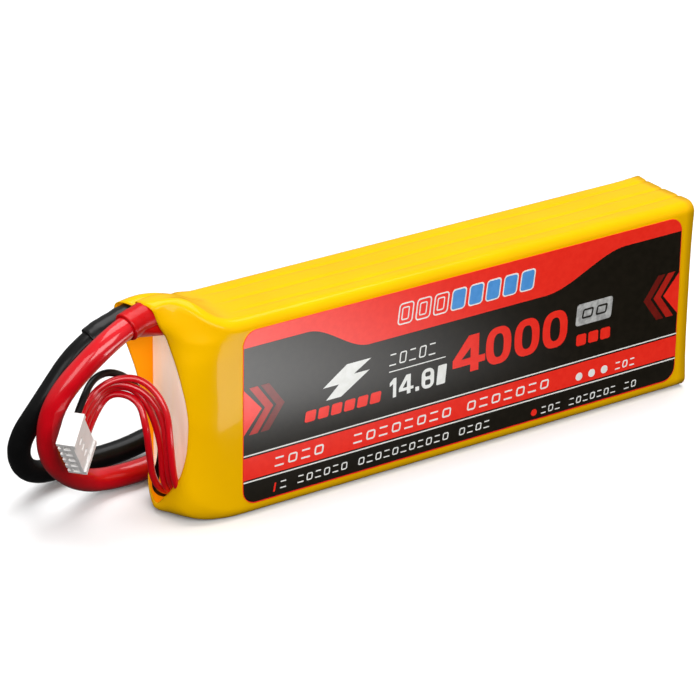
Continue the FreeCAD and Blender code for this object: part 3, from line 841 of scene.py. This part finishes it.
def make_sleeve():
    """The film as one tube: its straight body, and ribs that close in over the leads round a mouth."""
    ribs = sorted((round_place(face, at), reach, *handle, *end)
                  for face, rows in NOSE_RIBS.items() for at, reach, handle, end in rows)
    places = [rib[0] for rib in ribs]
    rows = [rib[1:] for rib in ribs]
    points = []
    for index in range(SLEEVE_ROUND):
        distance = PERIMETER * index / SLEEVE_ROUND
        y, z = section_point(distance)
        strip = nose_rib(distance, places, rows)[::-1]
        for step in range(1, BODY_STEPS + 1):
            x = NOSE_START_X + (FAR_END_X - NOSE_START_X) * step / BODY_STEPS
            strip.append(body_point(x, y, z))
        points.extend(point * MM for point in strip)
    mesh = mesh_from("sleeve", points, grid_faces(SLEEVE_ROUND, NOSE_STEPS + BODY_STEPS + 1, False))
    sleeve = add_piece("sleeve", mesh, "sleeve_film", "shrink_sleeve")
    # The inside of the film takes the painted orange glow that stands in for light coming through it.
    mesh.materials.append(FINISHES["inner_film_painted_glow"])
    skin = sleeve.modifiers.new("thickness", "SOLIDIFY")
    skin.thickness = FILM * MM
    skin.offset = -1.0
    skin.material_offset = 1
    skin.material_offset_rim = 0
    return sleeve


# ---- label print ----

def quarter_circle(centre_x, centre_z, radius, start, steps):
    """Points of a quarter of a circle, from an angle in degrees."""
    points = []
    for step in range(steps + 1):
        turn = math.radians(start + 90 * step / steps)
        points.append((centre_x + radius * math.cos(turn), centre_z + radius * math.sin(turn)))
    return points


def box_loop(x1, x2, z1, z2, radius, slant=0.0):
    """A rectangle with round corners, leaning by slant millimetres per millimetre of height."""
    loop = []
    for centre_x, centre_z, start in ((x2 - radius, z1 + radius, -90), (x2 - radius, z2 - radius, 0),
                                      (x1 + radius, z2 - radius, 90), (x1 + radius, z1 + radius, 180)):
        loop += quarter_circle(centre_x, centre_z, radius, start, CORNER_STEPS)
    return [(x + slant * (z - z1), z) for x, z in loop]


def ring_loops(x1, x2, z1, z2, stroke, radius, slant=0.0):
    """A rounded frame: its outside and its hole."""
    inner_radius = max(radius - stroke, 0.05)
    outside = box_loop(x1, x2, z1, z2, radius, slant)
    hole = box_loop(x1 + stroke, x2 - stroke, z1 + stroke, z2 - stroke, inner_radius, slant)
    shift = slant * stroke
    return [outside, [(x + shift, z) for x, z in hole]]


def oval_loops(x1, x2, z1, z2, stroke_x, stroke_z):
    """A tall rounded ring, as on a plain bold zero."""
    loops = []
    power = 2 / OVAL_SQUARENESS
    for inset_x, inset_z in ((0.0, 0.0), (stroke_x, stroke_z)):
        half_x = (x2 - x1) / 2 - inset_x
        half_z = (z2 - z1) / 2 - inset_z
        loop = []
        for step in range(OVAL_STEPS):
            turn = 2 * math.pi * step / OVAL_STEPS
            cosine = math.cos(turn)
            sine = math.sin(turn)
            loop.append(((x1 + x2) / 2 + half_x * math.copysign(abs(cosine) ** power, cosine),
                         (z1 + z2) / 2 + half_z * math.copysign(abs(sine) ** power, sine)))
        loops.append(loop)
    return loops


def print_piece(name, loops, layer, ink):
    """One ink of the label: flat shapes with their holes, a hair above the layer below."""
    line = bpy.data.curves.new(name, "CURVE")
    line.dimensions = "2D"
    line.fill_mode = "BOTH"
    line.extrude = PRINT_LAYER / 2 * MM
    for loop in loops:
        spline = line.splines.new("POLY")
        spline.points.add(len(loop) - 1)
        for entry, (x, z) in zip(spline.points, loop):
            entry.co = (x * MM, z * MM, 0.0, 1.0)
        spline.use_cyclic_u = True
    thing = linked(name + "_outline", line)
    mesh = evaluated(thing)
    bpy.data.objects.remove(thing)
    upright = Matrix.Rotation(math.radians(90), 4, "X")
    depth = LABEL_FACE_Y - PRINT_LAYER * (layer - 0.5)
    mesh.transform(Matrix.Translation((0, depth * MM, 0)) @ upright)
    mesh.name = name
    add_piece(name, mesh, "label_print", finish=ink)


def dark_panel_loop():
    """The dark field: a rounded sheet whose top edge dips between two soft waves."""
    bottom = LABEL_LOW_Z + FIELD_BORDER
    radius = LABEL_CORNER - FIELD_BORDER
    loop = quarter_circle(PRINT_START_X + radius, bottom + radius, radius, 180, FIELD_CORNER_STEPS)
    loop += quarter_circle(FIELD_END_X - radius, bottom + radius, radius, 270, FIELD_CORNER_STEPS)
    loop.append((FIELD_END_X, FIELD_END_Z))
    for first_x, last_x, dip_x, high_z in FIELD_WAVES:
        for step in range(FIELD_STEPS + 1):
            x = first_x + (last_x - first_x) * step / FIELD_STEPS
            share = abs(x - dip_x) / abs(last_x - first_x)
            loop.append((x, FIELD_DIP_Z + (high_z - FIELD_DIP_Z) * eased(share)))
    loop.append((PRINT_START_X, FIELD_HIGH_Z))
    return loop


def chevron_loops(edge_x, side):
    """A triangle at the label's edge and two chevrons that point inwards from it."""
    low, middle, high = CHEVRON_ZS
    triangle = [(edge_x, high - 0.3), (edge_x + side * 5.0, middle), (edge_x, low + 0.1)]
    arrows = []
    for start in CHEVRON_STARTS:
        inner = edge_x + side * start
        outer = inner + side * CHEVRON_WIDTH
        arrows.append([(inner, high), (outer, high), (outer + side * CHEVRON_REACH, middle), (outer, low),
                       (inner, low), (inner + side * CHEVRON_REACH, middle)])
    return triangle, arrows


def four_loops(x1, x2, z1, z2, stroke):
    """A plain bold four with an open triangle."""
    bar_z = z1 + (z2 - z1) * 0.2
    bar_top = bar_z + stroke * 0.72
    stem_x = x2 - (x2 - x1) * 0.2 - stroke
    outside = [(stem_x, z1), (stem_x + stroke, z1), (stem_x + stroke, bar_z), (x2, bar_z), (x2, bar_top),
               (stem_x + stroke, bar_top), (stem_x + stroke, z2), (stem_x - stroke * 0.25, z2),
               (x1, bar_z + stroke * 0.8), (x1, bar_z), (stem_x, bar_z)]
    hole = [(x1 + stroke * 1.05, bar_top), (stem_x, bar_top), (stem_x, z2 - stroke * 1.3)]
    return [outside, hole]


def one_loop(x1, z1, z2, stroke):
    """A plain bold one."""
    return [(x1 + stroke, z1), (x1 + 2 * stroke, z1), (x1 + 2 * stroke, z2), (x1 + 1.2 * stroke, z2),
            (x1, z2 - stroke * 1.1), (x1, z2 - stroke * 2.1), (x1 + stroke, z2 - stroke * 1.5)]


def eight_loops(x1, x2, z1, z2, stroke):
    """A plain bold eight."""
    middle = (z1 + z2) / 2 + 0.1
    loops = [box_loop(x1, x2, z1, z2, (x2 - x1) * 0.42)]
    for low, high in ((z1 + stroke * 0.85, middle - stroke * 0.4),
                      (middle + stroke * 0.4, z2 - stroke * 0.85)):
        loops.append(box_loop(x1 + stroke, x2 - stroke, low, high, 0.45))
    return loops


def greeked_loops(x1, x2, z1, z2, pitch, stroke, gaps=()):
    """A line of stand-in marks: small frames and pairs of bars in place of letters, with word gaps."""
    loops = []
    lean = MARK_SLANT * (z2 - z1 - stroke)
    for index in range(int((x2 - x1) / pitch)):
        start = x1 + index * pitch
        end = start + pitch * 0.68
        if index in gaps:
            continue
        if index % 2:
            loops.extend(ring_loops(start, end, z1, z2, stroke, stroke * 1.6, MARK_SLANT))
            continue
        for left, low in ((start, z1), (start + lean, z2 - stroke)):
            loops.append(box_loop(left, end, low, low + stroke, stroke * 0.3, MARK_SLANT))
    return loops


# Each of these gives the rows of one part of the print: name, loops, layer and ink.

def field_rows():
    """The dark field, the red band with its rules, and the chevrons at both edges."""
    band = [(PRINT_START_X, BAND_LOW_Z), (LABEL_END_X, BAND_LOW_Z), (LABEL_END_X, BAND_HIGH_Z),
            (PRINT_START_X, BAND_HIGH_Z)]
    left, left_arrows = chevron_loops(PRINT_START_X, 1)
    right, right_arrows = chevron_loops(LABEL_END_X, -1)
    end_x = LABEL_END_X - 0.1
    rules = [[(PRINT_START_X, z), (end_x, z), (end_x, z + RULE_HEIGHT), (PRINT_START_X, z + RULE_HEIGHT)]
             for z in RULE_ZS]
    return [("dark_field", [dark_panel_loop()], 1, "ink_black"),
            ("red_band", [band, left, right], 2, "label_print"),
            ("chevrons", [left_arrows[0], right_arrows[0]], 2, "ink_red_mid"),
            ("far_chevrons", [left_arrows[1], right_arrows[1]], 2, "ink_red_dark"),
            ("rules", rules, 2, "ink_white")]


def figure_rows():
    """The plain numerals, large and small, and the thin line of marks above the small ones."""
    large = four_loops(3.6, 13.4, 21.3, 30.9, 2.5)
    for start in (13.6, 22.3, 31.0):
        large += oval_loops(start, start + 7.7, 21.3, 31.1, 2.3, 1.8)
    small = [one_loop(-15.0, 20.2, 25.2, 0.95)] + four_loops(-12.3, -8.0, 20.2, 25.2, 1.05)
    small += [box_loop(-7.4, -6.3, 20.2, 21.3, 0.15)] + eight_loops(-5.6, -1.9, 20.1, 25.3, 1.05)
    small += [box_loop(-1.2, 1.4, 20.2, 25.2, 0.3, 0.1)]
    thin = greeked_loops(-15.3, 1.0, 28.6, 31.6, 2.9, 0.32)
    thin.append([(-15.3, 26.95), (1.4, 26.95), (1.4, 27.2), (-15.3, 27.2)])
    return [("large_figures", large, 2, "label_print"), ("small_figures", small, 2, "ink_white"),
            ("thin_marks", thin, 2, "ink_white")]


def bolt_rows():
    """A plain bolt over a row of leaning blocks."""
    bolt = [(-33.5, 24.3), (-29.2, 24.3), (-21.0, 29.3), (-25.6, 29.3), (-20.6, 32.2), (-27.6, 32.2),
            (-34.4, 27.6), (-29.8, 27.6)]
    blocks = [box_loop(-39.6 + 3.75 * index, -36.6 + 3.75 * index, 20.1, 22.9, 0.5, 0.15)
              for index in range(6)]
    return [("bolt", [bolt], 2, "ink_white"), ("red_blocks", blocks, 2, "label_print")]


def tile_loop(index, inset, radius):
    """A leaning tile, or a smaller one within it."""
    start = TILE_START_X + TILE_PITCH * index
    return box_loop(start + inset, start + TILE_WIDTH - inset, TILE_LOW_Z + inset, TILE_HIGH_Z - inset,
                    radius, TILE_SLANT)


def tile_rows():
    """The row of leaning tiles: the first ones are outlined, the others blue with a white edge."""
    frames = []
    for index in range(OUTLINED_TILES):
        start = TILE_START_X + TILE_PITCH * index
        frames += ring_loops(start, start + TILE_WIDTH, TILE_LOW_Z, TILE_HIGH_Z, 0.35, 1.0, TILE_SLANT)
        frames += ring_loops(start + 1.1, start + 3.3, 39.6, 42.9, 0.3, 0.5, TILE_SLANT)
    filled = range(OUTLINED_TILES, TILE_COUNT)
    return [("outlined_tiles", frames, 1, "ink_white"),
            ("tile_edges", [tile_loop(index, 0.0, 1.0) for index in filled], 1, "ink_white"),
            ("blue_tiles", [tile_loop(index, 0.35, 0.7) for index in filled], 2, "ink_blue")]


def chip_rows():
    """The silver chip with two frames on it, and three red blocks below."""
    frames = []
    for start in (43.0, 47.4):
        frames += ring_loops(start, start + 3.4, 26.9, 29.5, 0.5, 0.6, 0.2)
    units = [box_loop(start, start + 3.1, 19.9, 22.9, 0.6) for start in (41.7, 45.5, 49.3)]
    return [("chip", [box_loop(41.2, 52.4, 25.3, 31.0, 0.8, 0.08)], 2, "ink_silver"),
            ("chip_marks", frames, 3, "ink_black"), ("unit_blocks", units, 2, "label_print")]


def small_mark_rows():
    """The marks on the red band and along the dark strip below it, and the red dots among them."""
    band = greeked_loops(-48.0, 35.0, 11.0, 13.4, 3.75, 0.42, (4, 5, 14))
    band += [box_loop(x, x + 2.1, 10.5, 12.6, 1.0) for x in (42.0, 46.0, 50.0)]
    band += greeked_loops(54.5, 63.5, 10.5, 12.5, 2.3, 0.35)
    strip = greeked_loops(-46.4, 18.0, 5.0, 6.9, 2.5, 0.3, (1, 8, 20))
    strip += greeked_loops(31.4, 63.8, 4.4, 6.2, 2.2, 0.28, (3, 11))
    dots = [box_loop(28.3, 30.1, 4.4, 6.2, 0.88), box_loop(-48.4, -47.9, 4.6, 6.9, 0.2, 0.2)]
    return [("band_marks", band, 3, "ink_white"), ("strip_marks", strip, 2, "ink_white"),
            ("red_dots", dots, 2, "label_print")]


def make_label_print():
    for rows in (field_rows, figure_rows, bolt_rows, tile_rows, chip_rows, small_mark_rows):
        for name, loops, layer, ink in rows():
            print_piece("label_" + name, loops, layer, ink)


# ---- balance plug ----

def plug_place():
    """Local X along the row of ways, local Z towards the mating face."""
    mating = Vector(PLUG_MATING_DIRECTION).normalized()
    row = Vector(PLUG_ROW_DIRECTION)
    row = (row - mating * row.dot(mating)).normalized()
    across = mating.cross(row)
    return Matrix.Translation(PLUG_CENTRE) @ Matrix((row, across, mating)).transposed().to_4x4()


def make_plug():
    """The white housing: a body between two rails, notched and open at the mating face."""
    half_row = PLUG_ROW / 2
    half_thick = PLUG_THICK / 2
    half_depth = PLUG_DEPTH / 2
    body_top = half_thick - PLUG_RAIL_RISE
    body = block_tool((-half_row, -half_thick, -half_depth), (half_row, body_top, half_depth))
    rails = []
    for side in (-1, 1):
        near, far = sorted((side * half_row, side * (half_row - PLUG_RAIL_WIDTH)))
        rails.append(block_tool((near, body_top - 0.6, -half_depth), (far, half_thick, half_depth)))
    body = rounded(carve(body, rails, "UNION"), 0.16)
    cuts = []
    # Each way has a hole for its contact, a notch in front of it and a window in the back.
    for way in range(PLUG_WAYS):
        x = (way - (PLUG_WAYS - 1) / 2) * PLUG_PITCH
        for half, low_y, high_y, low_z, high_z in (
                (0.85, -0.85, 0.85, half_depth - 6.6, half_depth + 1),
                (0.6, -half_thick - 1, -half_thick + 0.9, half_depth - 2.2, half_depth + 1),
                (0.45, body_top - 0.35, half_thick + 1, half_depth - 4.6, half_depth - 2.8)):
            cuts.append(block_tool((x - half, low_y, low_z), (x + half, high_y, high_z)))
    body = rounded(carve(body, cuts), 0.05, 1, 60.0)
    return moulding("balance_plug_body", body, plug_place(), "white_nylon", "balance_plug")


# ---- power connector ----

def bar(radius, x1, x2, side):
    """A round bar along a pole of the connector."""
    shape = bmesh.new()
    turn = Matrix.Rotation(math.radians(90), 4, "Y")
    middle = Matrix.Translation(((x1 + x2) / 2, POLE_MIDDLE_Y + side * POLE_PITCH / 2, POLE_Z))
    bmesh.ops.create_cone(shape, cap_ends=True, segments=48, radius1=radius, radius2=radius, depth=x2 - x1,
                          matrix=middle @ turn)
    return shape


def connector_block(x1, x2, width, height):
    """A box round the middle line of the connector."""
    return block((x1, POLE_MIDDLE_Y - width / 2, POLE_Z - height / 2),
                 (x2, POLE_MIDDLE_Y + width / 2, POLE_Z + height / 2))


def make_connector():
    """The housing: a ribbed grip, and a mating nose that is chamfered at its positive end."""
    grip = tool_object(connector_block(HOUSING_START_X, HOUSING_NECK_X, HOUSING_WIDTH, HOUSING_HEIGHT))
    grip = rounded(grip, 1.0, 3)
    nose = connector_block(HOUSING_NECK_X - 1, HOUSING_END_X, MATING_WIDTH, MATING_HEIGHT)
    keyed = [edge for edge in nose.edges
             if all(vertex.co.y < POLE_MIDDLE_Y for vertex in edge.verts)
             and abs(edge.verts[0].co.x - edge.verts[1].co.x) > 1.0]
    bmesh.ops.bevel(nose, geom=keyed, offset=KEY_CHAMFER, segments=1, affect="EDGES", profile=0.5)
    housing = carve(grip, [rounded(tool_object(nose), 0.35)], "UNION")
    cuts = [tool_object(bar(SOCKET_OUTER_RADIUS, HOUSING_START_X - 1, HOUSING_END_X + 1, side))
            for side in (-1, 1)]
    for index in range(GRIP_GROOVES):
        x = HOUSING_START_X + GRIP_GROOVE_START + index * GRIP_GROOVE_PITCH
        for side in (-1, 1):
            edge = POLE_MIDDLE_Y + side * HOUSING_WIDTH / 2
            low = (x, edge - GRIP_GROOVE_DEPTH, POLE_Z - GRIP_GROOVE_REACH)
            high = (x + GRIP_GROOVE_WIDTH, edge + GRIP_GROOVE_DEPTH, POLE_Z + GRIP_GROOVE_REACH)
            cuts.append(block_tool(low, high))
    housing = carve(housing, cuts)
    return moulding("power_connector_body", housing, Matrix(), "connector_nylon", "connector_housing")


# ---- carried-over nodes ----

def numbered(prefix, count):
    return [prefix + str(index + 1) for index in range(count)]


NODES_BY_FINISH = {
    "label_print": ["label"],
    "fibre_paper": ["lead_end_pad", "rear_end_pad"],
    "circuit_board": ["junction_board"],
    "tab_metal": ["positive_terminal_tab", "negative_terminal_tab", *numbered("tab_link_", 3)],
    "solder": ["positive_joint", "negative_joint", *numbered("balance_joint_", 5)],
    "socket_plating": ["positive_socket", "negative_socket"],
    "red_shrink": ["positive_connector_shrink"],
    "black_shrink": ["negative_connector_shrink"],
    "cell_pouch": numbered("cell_", 4),
    "adhesive_foam": numbered("cell_pad_", 3),
    "strapping_tape": numbered("tape_band_", 2),
    "contact_plating": numbered("balance_contact_", 5)}


def finish_cad_nodes():
    """Put the finishes on the nodes that are shown as the CAD made them."""
    for slot, nodes in NODES_BY_FINISH.items():
        for node in nodes:
            for material_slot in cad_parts[node].material_slots:
                material_slot.material = FINISHES[slot]


# ---- stage ----

def make_sheet(name, corners, material, passed_by):
    """A flat sheet of the stage, which some kinds of rays pass by."""
    mesh = mesh_from(name, corners, [(0, 1, 2, 3)], False)
    mesh.materials.append(material)
    sheet = linked(name, mesh)
    for rays in passed_by:
        setattr(sheet, "visible_" + rays, False)


def make_floor():
    """Plain pale paper. Only the camera sees it, so that it throws no white up onto the pack."""
    paint = bpy.data.materials.new("floor_paper")
    paint.use_nodes = True
    shader = paint.node_tree.nodes["Principled BSDF"]
    shader.inputs["Base Color"].default_value = (0.92, 0.92, 0.92, 1.0)
    shader.inputs["Roughness"].default_value = 0.9
    shader.inputs["Specular IOR Level"].default_value = 0.1
    half = FLOOR_SIZE / 2
    corners = [(-half, -half, 0), (half, -half, 0), (half, half, 0), (-half, half, 0)]
    make_sheet("floor", corners, paint, ("diffuse", "glossy"))


def glow(name, faint, bright, middle, spread):
    """A light whose strength swells from faint to bright round a middle point on its card, in metres."""
    material = bpy.data.materials.new(name)
    material.use_nodes = True
    nodes = material.node_tree.nodes
    links = material.node_tree.links
    nodes.clear()
    place = nodes.new("ShaderNodeTexCoord").outputs["Object"]
    mapping = fresh(nodes, "Mapping", Location=middle, Scale=spread)
    mapping.vector_type = "TEXTURE"
    links.new(place, mapping.inputs["Vector"])
    ball = nodes.new("ShaderNodeTexGradient")
    ball.gradient_type = "SPHERICAL"
    links.new(mapping.outputs["Vector"], ball.inputs["Vector"])
    strength = fresh(nodes, "MapRange", To_Min=faint, To_Max=bright)
    strength.interpolation_type = "SMOOTHSTEP"
    links.new(ball.outputs["Fac"], strength.inputs["Value"])
    light = nodes.new("ShaderNodeEmission")
    links.new(strength.outputs["Result"], light.inputs["Strength"])
    output = nodes.new("ShaderNodeOutputMaterial")
    links.new(light.outputs["Emission"], output.inputs["Surface"])
    return material


def make_card():
    """A lit card on the floor in front, which only reflections see."""
    light = glow("card_light", *CARD_STRENGTHS, CARD_GLOW_MIDDLE, CARD_GLOW_SPREAD)
    corners = [mm(corner) for corner in CARD_CORNERS]
    make_sheet("card", corners, light, ("camera", "diffuse", "transmission", "shadow"))


def softbox(name, place, aim, size, power):
    """A rectangular lamp, in metres and watts, turned to a point."""
    lamp = bpy.data.lights.new(name, "AREA")
    lamp.shape = "RECTANGLE"
    lamp.size, lamp.size_y = size
    lamp.energy = power
    thing = linked(name, lamp)
    thing.location = place
    thing.rotation_mode = "QUATERNION"
    thing.rotation_quaternion = (Vector(aim) - Vector(place)).to_track_quat("-Z", "Y")


def make_world():
    """White behind the object. As light it is a soft dome, dim below the horizon."""
    world = bpy.data.worlds.new("studio")
    bpy.context.scene.world = world
    world.use_nodes = True
    nodes = world.node_tree.nodes
    links = world.node_tree.links
    nodes.clear()
    direction = nodes.new("ShaderNodeSeparateXYZ")
    links.new(nodes.new("ShaderNodeTexCoord").outputs["Generated"], direction.inputs["Vector"])
    height = fresh(nodes, "MapRange", From_Min=-0.15, From_Max=0.25, To_Min=DOME_LOW, To_Max=DOME_HIGH)
    links.new(direction.outputs["Z"], height.inputs["Value"])
    dome = fresh(nodes, "Background", Color=(1.0, 1.0, 1.0, 1.0))
    links.new(height.outputs["Result"], dome.inputs["Strength"])
    backdrop = fresh(nodes, "Background", Color=(1.0, 1.0, 1.0, 1.0))
    mix = nodes.new("ShaderNodeMixShader")
    links.new(dome.outputs["Background"], mix.inputs[1])
    links.new(backdrop.outputs["Background"], mix.inputs[2])
    links.new(nodes.new("ShaderNodeLightPath").outputs["Is Camera Ray"], mix.inputs["Fac"])
    output = nodes.new("ShaderNodeOutputWorld")
    links.new(mix.outputs["Shader"], output.inputs["Surface"])


def make_stage():
    make_world()
    make_floor()
    make_card()
    for row in SOFTBOXES:
        softbox(*row)
    bpy.context.scene.view_settings.view_transform = "Standard"


# ---- assembly ----

def make_leads():
    """Both power leads with their collars, and the connector that they end in."""
    rows = []
    for colour, pole, route in (("red", "positive", RED_ROUTE), ("black", "negative", BLACK_ROUTE)):
        lead = cord_curve(colour + "_lead", route, LEAD_DIA, colour + "_silicone", pole + "_lead")
        rows.append((lead, colour, pole, route))
    collars = [make_collar(colour + "_collar", lead, length, colour + "_shrink", pole + "_collar")
               for (lead, colour, pole, route), length in zip(rows, COLLAR_LENGTHS)]
    connector = make_connector()


def make_balance_lead():
    """The plug and its wires: the first is black, the others are red."""
    plug = make_plug()
    for way, (route, length) in enumerate(zip(BALANCE_ROUTES, BALANCE_LENGTHS), 1):
        slot = "black_silicone" if way == 1 else "red_silicone"
        wire = cord_curve("wire_%d" % way, route, BALANCE_WIRE_DIA, slot, "balance_wire_%d" % way)


make_camera()
make_leads()
make_balance_lead()
make_sleeve()
make_label_print()
finish_cad_nodes()
make_stage()
